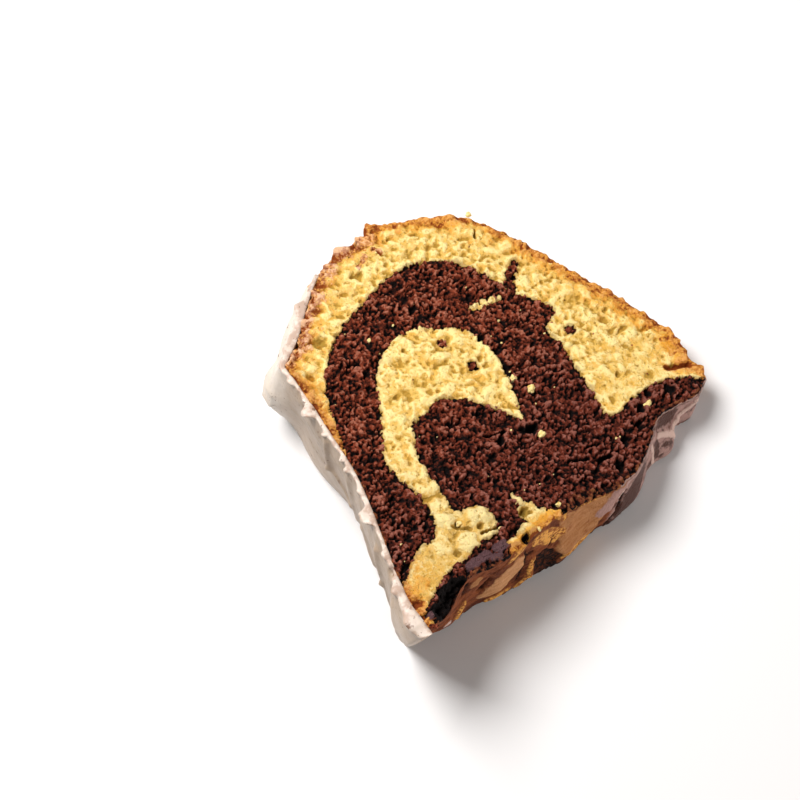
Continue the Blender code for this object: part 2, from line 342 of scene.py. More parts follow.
def grain_dome(plan, tree, wobble, spot, turn, stretch):
    """The points near one grain, and its dome's height at each, 0 outside it."""
    x, y, radius = spot
    ids = np.array([found[1] for found in tree.find_range((x, y, 0), radius * stretch)], int)
    offset = plan[ids] - (x, y)
    u = (offset @ (np.cos(turn), np.sin(turn))) / stretch
    v = offset @ (-np.sin(turn), np.cos(turn))
    return ids, np.sqrt(np.maximum(radius**2 - (u * u + v * v) * wobble[ids] ** 2, 0))


def dark_relief(plan, flat, rng, depth_at):
    """The dark crumb's relief, of half sunk grains: heights, and each point's grain if any."""
    tree = point_tree(plan)
    wobble = 1 + 0.45 * perlin(flat, 0.8, 2) + 0.3 * perlin(flat, 0.5, 7)
    height = CREVICES + 0.35 * perlin(flat, 1.5, 3)
    grain = np.full(len(plan), -1)
    for number, sort in enumerate(DARK_GRAINS):
        made = scatter(rng, plan.min(0) - 1, plan.max(0) + 1, sort)
        made = made[depth_at(made[:, :2]) + rng.normal(0, 0.2, len(made)) > 0]
        turns = TEAR_TURN + rng.normal(0, 0.8, len(made))
        stretches = rng.uniform(1, 1.8, len(made))
        spots = made[:, :3]
        lifts = 0.34 * furrows(made[:, :2]) + 0.25 * perlin(spots, 5, 6) + 0.45 * perlin(spots, 1.9, 5)
        for k, (x, y, radius, top) in enumerate(made.tolist()):
            ids, dome = grain_dome(plan, tree, wobble, (x, y, radius), turns[k], stretches[k])
            rise = np.where(dome > 0, top + lifts[k] - radius + dome, CREVICES)
            higher = rise > height[ids]
            ids = ids[higher]
            height[ids] = rise[higher]
            grain[ids] = k * len(DARK_GRAINS) + number
    height += 0.5 * perlin(flat, 1.1, 17) + 0.42 * perlin(flat, 0.6, 18)
    return height + 0.7 * perlin(flat, 3, 19), grain


def square_to(along):
    """Directions of length 1 at right angles to the given ones."""
    along = along / np.linalg.norm(along, axis=1)[:, None]
    return np.stack([-along[:, 1], along[:, 0]], -1)


def side_outline():
    """The shown cut's outline: its points, their zones and their outward directions."""
    runs = [smooth_run(knots, ALONG) for knots in ZONES]
    spots = np.concatenate(runs)
    zone = np.concatenate([np.full(len(run), i) for i, run in enumerate(runs)])
    return spots, zone, square_to(np.roll(spots, -1, axis=0) - np.roll(spots, 1, axis=0))


def lattice(ring, spacing):
    """Points of a triangular lattice inside a ring, not too close to it."""
    low, high = ring.min(0), ring.max(0)
    x, y = np.meshgrid(np.arange(low[0], high[0], spacing), np.arange(low[1], high[1], spacing * 0.866))
    x[1::2] += spacing / 2
    spots = np.stack([x.ravel(), y.ravel()], -1)
    return spots[distance_to(spots, ring) < -spacing * RIM_MARGIN]


def front_points(ring):
    """Points of the shown cut, closer together in the dark crumb, which has finer grains."""
    dense, loose = lattice(ring, DARK_SPACING), lattice(ring, LIGHT_SPACING)
    reach = FINE_BEYOND + DARK_SPACING * RIM_MARGIN
    return np.concatenate([dense[dark_depth(dense) > -FINE_BEYOND], loose[dark_depth(loose) < -reach]])


def bridge(low, high, count, closed=False):
    """Quads between two rows of points, whose numbers start at low and high."""
    pairs = [(i, (i + 1) % count) for i in range(count if closed else count - 1)]
    return [(low + j, low + i, high + i, high + j) for i, j in pairs]


def cut_faces(points, rim, inner, up):
    """Triangles over a cut, from the numbers of its rim's points and of those inside it."""
    ids = [*rim, *inner]
    every = [Vector(p) for p in points[ids, :2].tolist()]
    made = delaunay_2d_cdt(every, [], [list(range(len(rim)))], 1, 1e-6)
    if len(made[0]) != len(every):
        raise ValueError("the triangulation added points")
    order = [ids[origin[0]] for origin in made[3]]
    return [tuple(order[i] for i in face)[:: 1 if up else -1] for face in made[2]]


def cake_shape():
    """Points, faces and what each point belongs to, before any relief."""
    spots, zone, outward = side_outline()
    count = len(spots)
    on_base = (zone == ON_BASE).astype(float)
    rows = [place(*spots.T, np.full(count, row / ROWS), on_base) for row in range(ROWS + 1)]
    front, back = front_points(rows[-1][:, :2]), lattice(rows[0][:, :2], BACK_SPACING)
    front_rows = np.column_stack([front, cut_height(front[:, 0])])
    points = np.concatenate([*rows, front_rows, np.column_stack([back, np.zeros(len(back))])])
    start_front = count * (ROWS + 1)
    start_back = start_front + len(front)
    faces = []
    for row in range(ROWS):
        faces += bridge(row * count, (row + 1) * count, count, closed=True)
    faces += cut_faces(points, range(count * ROWS, start_front), range(start_front, start_back), True)
    faces += cut_faces(points, range(count), range(start_back, len(points)), False)
    levels = np.repeat(np.arange(ROWS + 1) / ROWS, count)
    across = np.concatenate([levels, np.ones(len(front)), np.zeros(len(back))])
    side = np.concatenate([np.tile(np.arange(count), ROWS + 1), np.full(len(front) + len(back), -1)])
    return SimpleNamespace(
        points=points, faces=faces, across=across, side=side, spots=spots, zone=zone, outward=outward,
        on_front=across >= 1, on_back=across <= 0,
    )


def added(name, data):
    ob = bpy.data.objects.new(name, data)
    bpy.context.scene.collection.objects.link(ob)
    return ob


def new_mesh(name, points, faces, attributes, mat):
    """An object of points in millimetres, with numbers at each point for its material."""
    mesh = bpy.data.meshes.new(name)
    mesh.from_pydata((points * MM).tolist(), [], faces)
    for key, values in attributes.items():
        made = mesh.attributes.new(key, "FLOAT", "POINT")
        made.data.foreach_set("value", np.ascontiguousarray(values, np.float32))
    mesh.materials.append(mat)
    mesh.shade_smooth()
    return added(name, mesh)


class Material:
    """A Principled material with short names for making its nodes."""

    def __init__(self, name, **constants):
        self.made = bpy.data.materials.new(name)
        self.made.use_nodes = True
        self.tree = self.made.node_tree
        self.shader = self.tree.nodes["Principled BSDF"]
        for key, value in constants.items():
            self.shader.inputs[key.replace("_", " ")].default_value = value
        coords = self.node("ShaderNodeTexCoord")
        scale = self.node("ShaderNodeMapping", Vector=coords.outputs["Object"], Scale=(1 / MM,) * 3)
        self.spot = scale.outputs["Vector"]

    def node(self, kind, settings=None, **inputs):
        made = self.tree.nodes.new(kind)
        for key, value in (settings or {}).items():
            setattr(made, key, value)
        for key, value in inputs.items():
            self.feed(made.inputs[key.replace("_", " ")], value)
        return made

    def feed(self, socket, value):
        if isinstance(value, bpy.types.NodeSocket):
            self.tree.links.new(value, socket)
        else:
            socket.default_value = value

    def value(self, name):
        return self.node("ShaderNodeAttribute", {"attribute_name": name}).outputs["Fac"]

    def noise(self, size, detail=3, offset=0, along=1):
        """Noise from 0 to 1 around 0.5, with features of that size in millimetres, drawn out
        along X by a factor."""
        moved = {"Scale": (1 / along, 1, 1), "Location": (offset, offset * 0.7, -offset)}
        spot = self.node("ShaderNodeMapping", Vector=self.spot, **moved).outputs["Vector"]
        look = {"Scale": 1 / size, "Detail": detail, "Roughness": 0.55}
        return self.node("ShaderNodeTexNoise", Vector=spot, **look).outputs["Fac"]

    def add(self, value, *pairs):
        """A value with noises added, each a pair of a socket and its strength."""
        for socket, strength in pairs:
            value = self.math("ADD", value, self.math("MULTIPLY_ADD", socket, strength, -strength / 2))
        return value

    def math(self, operation, *values):
        made = self.node("ShaderNodeMath", {"operation": operation})
        for socket, value in zip(made.inputs, values):
            self.feed(socket, value)
        return made.outputs[0]

    def step(self, value, low, high, to_low=0, to_high=1):
        ends = {"From_Min": low, "From_Max": high, "To_Min": to_low, "To_Max": to_high}
        made = self.node("ShaderNodeMapRange", {"interpolation_type": "SMOOTHSTEP"}, Value=value, **ends)
        return made.outputs["Result"]

    def mix(self, factor, a, b, blend="MIX"):
        made = self.node("ShaderNodeMix", {"data_type": "RGBA", "blend_type": blend})
        self.feed(made.inputs[0], factor)
        for socket, value in ((made.inputs[6], a), (made.inputs[7], b)):
            self.feed(socket, (*value, 1) if isinstance(value, tuple) else value)
        return made.outputs[2]

    def layered(self, colour, *layers):
        """A colour under layers: paint, the value that it follows, from where to where it
        sets in, and how much there is of it at most, if not all."""
        for paint, value, low, high, *most in layers:
            colour = self.mix(self.step(value, low, high, 0, *most), colour, paint)
        return colour

    def bumps(self, *heights):
        """Bump from pairs of a height socket and its depth in millimetres."""
        normal = None
        for height, depth in heights:
            made = self.node("ShaderNodeBump", Height=height, Distance=depth * MM)
            if normal:
                self.feed(made.inputs["Normal"], normal)
            normal = made.outputs["Normal"]
        self.feed(self.shader.inputs["Normal"], normal)

    def finish(self, colour, roughness):
        self.feed(self.shader.inputs["Base Color"], colour)
        self.feed(self.shader.inputs["Roughness"], roughness)
        return self.made


LIGHT_CRUMB, LIGHT_GOLD, LIGHT_PALE_HIGHLIGHT = (0.73, 0.455, 0.11), (0.71, 0.385, 0.062), (0.90, 0.73, 0.32)
LIGHT_DEEP_SHADE, LIGHT_SHADE, PORE_SHADE = (0.40, 0.225, 0.03), (0.36, 0.20, 0.06), (0.34, 0.21, 0.035)
DARK_CRUMB, SHADOW_BLACK = (0.10, 0.016, 0.006), (0.005, 0.0015, 0.001)
DARK_WARM, DARK_LIT, PLUM = (0.27, 0.05, 0.02), (0.48, 0.165, 0.10), (0.16, 0.076, 0.07)
CRUST, CRUST_DARK, CRUST_PALE_HIGHLIGHT = (0.50, 0.18, 0.035), (0.22, 0.045, 0.006), (0.74, 0.36, 0.10)
CRUST_AMBER, CRUST_PINK, FLANK_PALE_HIGHLIGHT = (0.70, 0.33, 0.04), (0.46, 0.21, 0.12), (0.78, 0.47, 0.29)
RUST, RUST_LIT = (0.22, 0.055, 0.018), (0.36, 0.12, 0.035)
AMBER_TINT, SHADE_TINT = (0.92, 0.61, 0.23), (0.62, 0.62, 0.80)
SKIN_TAN, SKIN_SAND, SKIN_GOLD = (0.33, 0.132, 0.045), (0.53, 0.265, 0.12), (0.70, 0.335, 0.075)
SKIN_BROWN, SKIN_RED, SKIN_GREY_SHEEN = (0.085, 0.019, 0.006), (0.22, 0.06, 0.02), (0.37, 0.215, 0.185)
SKIN_UMBER, SKIN_PALE = (0.07, 0.026, 0.018), (0.58, 0.40, 0.34)


def light_colour(m, relief, small, clump, wide, hole_shade):
    halo = m.add(m.value("tint"), (small, 0.8))
    return m.layered(
        LIGHT_CRUMB,
        (LIGHT_PALE_HIGHLIGHT, clump, 0.44, 0.62, 0.6),
        (LIGHT_GOLD, wide, 0.5, 0.66, 0.7),
        # Painted highlight on the relief's tops and painted shade in its hollows; where they follow the
        # noises instead, the pale and deep colours are the crumb's own tone
        (LIGHT_PALE_HIGHLIGHT, relief, 0.52, 0.85, 0.9),
        (LIGHT_DEEP_SHADE, relief, 0.44, 0.08, 0.95),
        (LIGHT_DEEP_SHADE, small, 0.42, 0.3, 0.75),
        (LIGHT_SHADE, halo, 0.3, 1, 0.6),
        # Painted shade inside pores and slots: olive, then darkest where they are deep
        (PORE_SHADE, hole_shade, 0.05, 0.5, 0.9),
        (SHADOW_BLACK, hole_shade, 0.65, 0.95),
    )


def dark_colour(m, relief, small, clump, wide, hole_shade):
    # The tone follows the relief as well as noise: the grains' tops are painted warmer and lit, as painted
    # highlight, and the crevices between them darkest, as painted shade
    tone = m.add(relief, (clump, 1.9), (wide, 1.6), (m.value("tint"), 0.15), (small, 0.6))
    plum = m.add(m.value("plum"), (small, 1.6))
    return m.layered(
        DARK_CRUMB,
        (DARK_WARM, tone, 0.5, 0.9),
        (DARK_LIT, tone, 0.9, 1.35),
        (SHADOW_BLACK, tone, 0.5, 0.12),
        (PLUM, plum, 0.35, 0.75),
        # Painted shade inside pores and slots
        (SHADOW_BLACK, hole_shade, 0.05, 0.4),
    )


def browned(m, crumb, dark, relief, fine, small, clump):
    """The crumb, more amber towards its crust, and the mottled crust itself."""
    amber = m.step(m.add(m.value("amber"), (small, 1.2), (clump, 2)), 0.2, 1)
    amber = m.math("MULTIPLY", amber, m.math("SUBTRACT", 1, dark))
    crumb = m.mix(amber, crumb, AMBER_TINT, "MULTIPLY")
    # The tone follows the relief as well as noise: the dark crust is the crust's own dark spots and
    # painted shade in hollows, the pale crust its pale flecks and painted highlight on raised bits, and
    # the lit rust is painted highlight
    tone = m.add(relief, (clump, 0.9), (small, 1.5), (fine, 0.6))
    pale = m.mix(m.value("pink"), CRUST_PALE_HIGHLIGHT, FLANK_PALE_HIGHLIGHT)
    brown = m.layered(
        m.mix(m.value("pink"), CRUST, CRUST_PINK),
        (CRUST_AMBER, m.add(small, (clump, 0.8)), 0.34, 0.78, 0.85),
        (CRUST_DARK, tone, 0.54, 0.12),
        (pale, tone, 0.62, 1, 0.9),
    )
    rust = m.layered(crumb, (RUST, tone, 0.35, 0.7), (RUST_LIT, tone, 0.7, 1.1))
    crust = m.add(m.value("crust"), (small, 1.2), (clump, 1.2))
    return m.layered(crumb, (m.mix(dark, brown, rust), crust, 0.3, 0.65))


def skin_colour(m, small, wide, hole_shade):
    """The risen base's skin, with its marks."""
    streak, stain = m.noise(1, 4, offset=5, along=3), m.noise(2, 4, offset=83)
    colours = {
        "umber": SKIN_UMBER,
        "tan": m.layered(SKIN_TAN, (SKIN_SAND, streak, 0.3, 0.7, 0.5), (SKIN_RED, stain, 0.54, 0.75, 0.6)),
        "sand": m.layered(SKIN_SAND, (SKIN_TAN, streak, 0.35, 0.65, 0.6)),
        "gold": m.layered(SKIN_GOLD, (SKIN_RED, m.add(stain, (small, 1.6)), 0.44, 0.62, 0.9)),
        "grey": SKIN_GREY_SHEEN,
        "pale": SKIN_PALE,
    }
    # The far lobes' grey skin has its satin sheen partly painted into the colour
    grey = m.layered(SKIN_GREY_SHEEN, (SKIN_UMBER, m.add(stain, (streak, 0.5)), 0.46, 0.7))
    blotch = m.add(wide, (streak, 0.9), (small, 0.5))
    skin = m.mix(m.value("far"), m.layered(SKIN_RED, (SKIN_BROWN, blotch, 0.36, 0.66)), grey)
    for kind, colour in colours.items():
        much = m.add(m.value(kind), (small, 0.6), (stain, 0.7))
        skin = m.layered(skin, (colour, much, 0.25, 0.75))
    # Painted shade: the skin is browner in the relief's hollows and darkest in holes and cavities
    deep = m.layered(SHADOW_BLACK, (SKIN_BROWN, m.add(small, (streak, 0.5)), 0.42, 0.66))
    return m.layered(skin, (SKIN_BROWN, m.value("fine"), 0.4, 0, 0.8), (deep, hole_shade, 0.2, 0.6))


def crumb_material():
    m = Material(
        "sponge", Specular_IOR_Level=0.15, Subsurface_Scale=0.001, Subsurface_Radius=(1, 0.55, 0.2)
    )
    fine, small = m.noise(0.4), m.noise(0.8, offset=31)
    clump, wide = m.noise(1.7, offset=12), m.noise(4.5, offset=57)
    hole_shade = m.value("hole_shade")
    dark = m.step(m.add(m.value("dark"), (small, 0.5)), -0.12, 0.12)
    # Both follow the relief, so that hollows are painted darker and tops lighter, as painted shade and
    # highlight
    relief = m.add(m.value("fine"), (fine, 1.2), (small, 0.7))
    soft = m.add(m.value("fine"), (fine, 0.6), (small, 0.5))
    light = light_colour(m, soft, small, clump, wide, hole_shade)
    crumb = m.mix(dark, light, dark_colour(m, relief, small, clump, wide, hole_shade))
    crumb = browned(m, crumb, dark, soft, fine, small, clump)
    colour = m.mix(m.value("skin"), crumb, skin_colour(m, small, wide, hole_shade))
    # The pale line along the base's front edge is partly painted highlight
    colour = m.layered(colour, (SKIN_PALE, m.value("edge"), 0.3, 0.8, 0.8))
    # Painted shade: darker and bluer towards the base, and darker by the icing
    colour = m.mix(m.value("shade_darkening"), colour, SHADE_TINT, "MULTIPLY")
    rough = m.step(m.math("SUBTRACT", dark, m.value("skin")), 0, 1, 0.45, 1)
    m.bumps((m.math("MULTIPLY", fine, rough), 0.9), (m.math("MULTIPLY", small, rough), 0.7))
    m.feed(m.shader.inputs["Subsurface Weight"], m.step(dark, 0, 1, 0.1, 0))
    satin = m.math("MULTIPLY", m.value("skin"), m.value("far"))
    satin = m.math("SUBTRACT", m.math("MAXIMUM", satin, m.value("plum")), hole_shade)
    return m.finish(colour, m.step(satin, 0, 1, 0.85, 0.36))


# Painted shade: the icing's colours are darkened and warmed for shade on the wall; thin icing is darker
# also because the crust shows through it, and towards the flank less shade is painted
ICING_THIN_SHADED, ICING_SHEER_SHADED, ICING_THICK_SHADED = (0.38, 0.28, 0.20), (0.32, 0.23, 0.155), (0.48, 0.365, 0.27)
ICING_BROKEN, ICING_PINK, ICING_SPECK = (0.66, 0.555, 0.475), (0.50, 0.36, 0.285), (0.16, 0.075, 0.04)
ICING_LESS_SHADED = (0.66, 0.58, 0.50)


def icing_material():
    m = Material(
        "icing", Specular_IOR_Level=0.4, Subsurface_Weight=0.15, Subsurface_Scale=0.0012,
        Subsurface_Radius=(1, 0.8, 0.6),
    )
    small, wide = m.noise(0.8), m.noise(5, offset=23)
    thin = m.mix(m.step(wide, 0.38, 0.62), ICING_THIN_SHADED, ICING_SHEER_SHADED)
    colour = m.mix(m.value("thick"), thin, ICING_THICK_SHADED)
    # Less painted shade towards the flank
    colour = m.mix(m.step(m.add(m.value("less_shaded"), (wide, 0.8)), 0.1, 0.9), colour, ICING_LESS_SHADED)
    broken = m.mix(m.step(m.noise(2.2, offset=41), 0.56, 0.4), ICING_BROKEN, ICING_PINK)
    colour = m.mix(m.value("rim"), colour, broken)
    specks = m.step(m.noise(0.7, 1, offset=77), 0.7, 0.76, 0, 0.85)
    stains = m.step(m.add(m.noise(1.8, offset=90), (wide, 0.6)), 0.64, 0.74, 0, 0.8)
    colour = m.mix(m.math("MAXIMUM", specks, stains), colour, ICING_SPECK)
    m.bumps((small, 0.08), (wide, 0.4))
    return m.finish(colour, 0.4)


def rim_distances(shape):
    """How far each point of a cut is from its rim, and the side point nearest to it."""
    count = len(shape.spots)
    inside = np.zeros(len(shape.points))
    nearest = np.maximum(shape.side, 0)
    for where, row in ((shape.on_front, ROWS), (shape.on_back, 0)):
        ids = np.nonzero(where & (shape.side < 0))[0]
        ring = shape.points[count * row : count * (row + 1), :2]
        inside[ids] = -distance_to(shape.points[ids, :2], ring)
        for some in np.array_split(ids, 20):
            gaps = ((shape.points[some, None, :2] - ring[None]) ** 2).sum(-1)
            nearest[some] = gaps.argmin(1)
    return inside, nearest


def smoothed(values, faces, times):
    """Values averaged with those of the mesh's neighbouring points, over and over."""
    quads = np.array([face if len(face) == 4 else (*face, face[0]) for face in faces])
    pairs = np.concatenate([quads[:, (k, (k + 1) % 4)] for k in range(4)])
    pairs = pairs[pairs[:, 0] != pairs[:, 1]]
    weight = np.bincount(pairs.ravel(), minlength=len(values)) + 1
    for _ in range(times):
        total = np.bincount(pairs[:, 0], values[pairs[:, 1]], len(values))
        total += np.bincount(pairs[:, 1], values[pairs[:, 0]], len(values))
        values = (values + total) / weight
    return values


def marble_depth(plan, across):
    """The marbling's depth, its plan swaying as it goes into the slice."""
    deep = np.column_stack([plan, across * SWAY_WAY])
    sway = np.stack([perlin(deep, SWAY_SIZE, 3), perlin(deep, SWAY_SIZE, 8)], -1)
    return dark_depth(plan + sway * (1 - across)[:, None] * SWAY_DEPTH)


def bore(plan, flat, rng):
    """How deep the pores and slots go into a cut, and how far inside one a point is."""
    depth, within = np.zeros(len(plan)), np.zeros(len(plan))
    shake = perlin(flat, 1.0, 9)
    low, high = plan.min(0), plan.max(0)
    sizes = rng.uniform(*PIT_SIZE, RANDOM_PITS)
    pits = [(*rng.uniform(low, high), r, r * rng.uniform(0.6, 1.3)) for r in sizes]
    for x, y, radius, deep in (*PORES, *pits):
        away = np.hypot(plan[:, 0] - x, plan[:, 1] - y) + 0.6 * radius * shake
        hole = smoothstep(away, radius * 1.1, radius * 0.2)
        depth = np.maximum(depth, deep * hole)
        within = np.maximum(within, hole * min(1, deep / BLACK_DEPTH))
    for *ends, radius, deep in SLOTS:
        away = segment_distance(*plan.T, ends) + 0.3 * shake
        slot = smoothstep(away, radius, radius * 0.3)
        depth = np.maximum(depth, deep * slot)
        within = np.maximum(within, slot * min(1, deep / BLACK_DEPTH))
    return depth, within


def patches(flat, lines):
    """How much a point is in ragged patches, each with its two ends and half width."""
    much, shake = np.zeros(len(flat)), 0.7 * perlin(flat, 1.5, 54)
    for *ends, half in lines:
        away = segment_distance(flat[:, 0], flat[:, 1], ends) + shake
        much = np.maximum(much, smoothstep(away, half * 1.3, half * 0.7))
    return much


def cut_relief(shape, row, where, seed):
    """Relief and marbling of one cut: its own points and the ring round it, and what is known
    at each."""
    count = len(shape.spots)
    ring = np.arange(count * row, count * (row + 1))
    ids = np.concatenate([ring, np.nonzero(where & (shape.side < 0))[0]])
    plan = shape.points[ids, :2] / (1 if row else 1 - BACK_NARROWING)
    across = float(row > 0)
    flat = np.column_stack([plan, np.full(len(plan), seed * 7.0)])

    def depth_at(spots):
        return marble_depth(spots, np.full(len(spots), across))

    rng = np.random.default_rng(seed)
    border = depth_at(plan) + sum(deep * perlin(flat, size, 51) for size, deep in BORDER_SWAY)
    grains_high, grain = dark_relief(plan, flat, rng, depth_at)
    dark = (border > 0) | (grain >= 0) & (border > -0.35)
    height = np.where(dark, grains_high, light_relief(flat))
    plum = patches(flat, PLUMS) * dark * across
    height = height + (0.15 + 0.15 * perlin(flat, 1.6, 53) - height) * plum
    # How far inside a hole each point is, which sets the painted shade in it
    depth, hole_shade = bore(plan, flat, rng)
    halo = smoothstep(border + 0.5 * perlin(flat, 1.2, 52), -1.3, 0.1)
    tint = np.where(dark, rng.random(grain.max() + 2)[grain], halo)
    return ids, {"rise": height - depth, "dark": dark - 0.5, "tint": tint, "hole_shade": hole_shade, "plum": plum}


def base_marks(shape):
    """What shows on the risen base: its relief, and how much of each kind there is."""
    up = shape.across * shape.thickness
    shake = perlin(shape.points, 1.7, 31) + 0.6 * perlin(shape.points, 0.8, 32)
    relief = np.zeros(len(up))
    much = {kind: np.zeros(len(up)) for kind in BASE_MARKS}
    for kind, marks in BASE_MARKS.items():
        for x0, a0, x1, a1, half, rise in marks:
            ends = (x0, a0 * cut_height(x0), x1, a1 * cut_height(x1))
            away = segment_distance(shape.along, up, ends) + 0.4 * shake * min(half, 1.4)
            blur = min(0.5 * half, 0.9)
            mark = smoothstep(away, half + blur, half - blur)
            relief += rise * mark
            much[kind] = np.maximum(much[kind], mark)
    return relief, much


def notches(points):
    """How far the holes in the cut's lower edge pull each point in, and how much it is in one."""
    pull, within = np.zeros(len(points)), np.zeros(len(points))
    for x, y, radius, deep in NOTCHES:
        away = np.linalg.norm(points - (x, y, cut_height(x)), axis=1)
        away += 0.3 * radius * perlin(points, 1.8, 33)
        pull = np.maximum(pull, deep * smoothstep(away, radius, radius * 0.4))
        within = np.maximum(within, smoothstep(away, radius * 1.05, radius * 0.85))
    return pull, within


NOTCH_WAY = np.array((0, 0.2, -0.9))  # where a notch in the cut's edge sinks to

# By zone: how far the browned crust reaches in from the rim, and the amber under it, and
# how rough the zone is
CRUST_WIDTHS = (2.3, 3.4, 2.4, 2.6, 3.0, 0.9)
AMBER_WIDTHS = (5.0, 5.6, 4.4, 5.2, 6.0, 1.2)
ROUGHNESS = (0.7, 1.6, 1.2, 1.2, 1.4, 0.4)
BROWN_BASE = (-24, -16, 8, 11)  # along X, where the cut's lower edge is browned
CRUST_ON_DARK = 0.15  # how much of its width the crust keeps on the dark crumb by the icing
RIM_REACH = 0.7  # how far down the walls the cuts' relief goes
# Rounds of smoothing that close and far hollows are found with, and how deep they are
# The hollows and tops found are painted darker and lighter, as painted shade and highlight
NEAR_ROUNDS, NEAR_DEPTH, FAR_ROUNDS, FAR_DEPTH = 7, 1.5, 60, 1.7


def measured_shape():
    """The bare shape, with where each of its points lies."""
    shape = cake_shape()
    shape.on_side = shape.side >= 0
    shape.inside, shape.nearest = rim_distances(shape)
    shape.zone = shape.zone[shape.nearest]
    shape.on_base = (shape.zone == ON_BASE).astype(float)
    shape.on_crown = np.isin(shape.zone, (ON_FLANK, ON_CROWN))
    shape.along = shape.spots[shape.nearest][:, 0]
    shape.thickness = cut_height(shape.along)
    shape.below = shape.on_side * (1 - shape.across) * shape.thickness
    shape.above = shape.on_side * shape.across * shape.thickness
    return shape


def dressed_cuts(shape):
    """Where the cuts' relief moves each point to, and what is known of the crumb there."""
    moved = shape.points.copy()
    dark = np.clip(marble_depth(shape.spots[shape.nearest], shape.across) * 0.5, -0.5, 0.5)
    looks = {"dark": dark, "tint": np.where(dark > 0, 0.5, 0)}
    looks |= {key: np.zeros(len(moved)) for key in ("rise", "hole_shade", "plum")}
    cut_normal = np.array((CUT_SLOPE, 0, 1)) / np.hypot(1, CUT_SLOPE)
    for row, where, seed in ((ROWS, shape.on_front, 1), (0, shape.on_back, 2)):
        ids, found = cut_relief(shape, row, where, seed)
        for key, values in found.items():
            looks[key][ids] = values
        edge = found["rise"][: len(shape.spots)][shape.side]
        from_cut = shape.below if row else shape.above
        rise = np.where(shape.on_side, edge * bump(from_cut, RIM_REACH), looks["rise"])
        if row:
            moved += (rise * (shape.across > 0.5))[:, None] * cut_normal
        else:
            lift = 0.25 * (shape.above < 1) - rise * (shape.across <= 0.5)
            moved[:, 2] += np.clip(lift, 0, 1.2)
    return moved, looks


def side_relief(shape, marked):
    """How far each point stands out sideways, with the relief of the base's marks."""
    points, near_cut = shape.points, bump(shape.below, 1.2)
    rough = 0.2 * grains(points, 1.3, 11) + 0.4 * perlin(points, 4.5, 12)
    rough += 0.22 * perlin(points, 1.1, 13) - 0.25
    torn = 0.35 * perlin(points, 2.4, 20) + 0.3 * perlin(points, 1.5, 17) + 0.2 * perlin(points, 0.8, 18)
    rough += near_cut * torn
    tufts = sum(stands * bump(shape.along - at, half) for at, half, stands in TUFTS)
    tufts = tufts * shape.on_crown * bump(shape.below, 1.6) * (1 + 0.6 * perlin(points, 0.9, 34))
    satin = 0.35 * perlin(points, 5, 14) + 0.08 * perlin(points, 1.6, 15) - 0.1
    sideways = rough * np.array(ROUGHNESS)[shape.zone] * (1 - shape.on_base) + tufts
    sideways += (satin + marked + near_cut * 0.3 * rough) * shape.on_base
    return sideways * np.where(shape.on_side, 1, bump(shape.inside, 0.9))


def browning(shape, dark, uneven):
    """How much crust there is at each point, and how much amber under it."""
    start, full, fading, end = BROWN_BASE
    base = smoothstep(shape.along, start, full) * smoothstep(shape.along, end, fading) * shape.on_base
    crust = (np.array(CRUST_WIDTHS)[shape.zone] + 0.6 * base) * uneven
    crust = crust * np.where((shape.zone == ON_OUTER_WALL) & (dark > 0), CRUST_ON_DARK, 1)
    amber = (np.array(AMBER_WIDTHS)[shape.zone] + 1.5 * base) * uneven
    much = []
    for width, places in ((crust, BROWNED), (amber, AMBERED)):
        spots = patches(shape.points, places) * (shape.across > 0.5)
        by_rim = bump(shape.inside, np.maximum(width, 0.1))
        much.append(np.where(shape.on_side, 1, np.maximum(by_rim, spots)))
    return much


